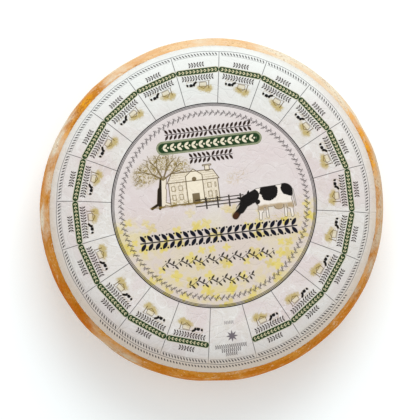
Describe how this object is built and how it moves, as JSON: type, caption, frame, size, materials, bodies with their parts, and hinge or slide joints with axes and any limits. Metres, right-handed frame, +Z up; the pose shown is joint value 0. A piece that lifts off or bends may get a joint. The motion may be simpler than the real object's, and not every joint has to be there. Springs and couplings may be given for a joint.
{
  "type": "cheese wheel",
  "caption": "Whole round farmhouse cheese with bulging sides, a waxy orange rind and a round printed paper label pressed over its top shoulder.",
  "frame": {"origin": "middle of the flat base that the wheel rests on", "axes": "+Z up, along the wheel's axis of revolution; +Y towards the top of the label's picture, so -Y is the side that a reader of the label faces; +X to that reader's right"},
  "size_m": [0.264, 0.264, 0.0923],
  "materials": {
    "rind": "satin orange-tan coated rind with a pale dry bloom",
    "label": "thin crinkled printed paper, off-white with a pink and yellow wash"
  },
  "bodies": {
    "root": {"cheese_wheel": "rind", "paper_label": "label"}
  },
  "joints": []
}
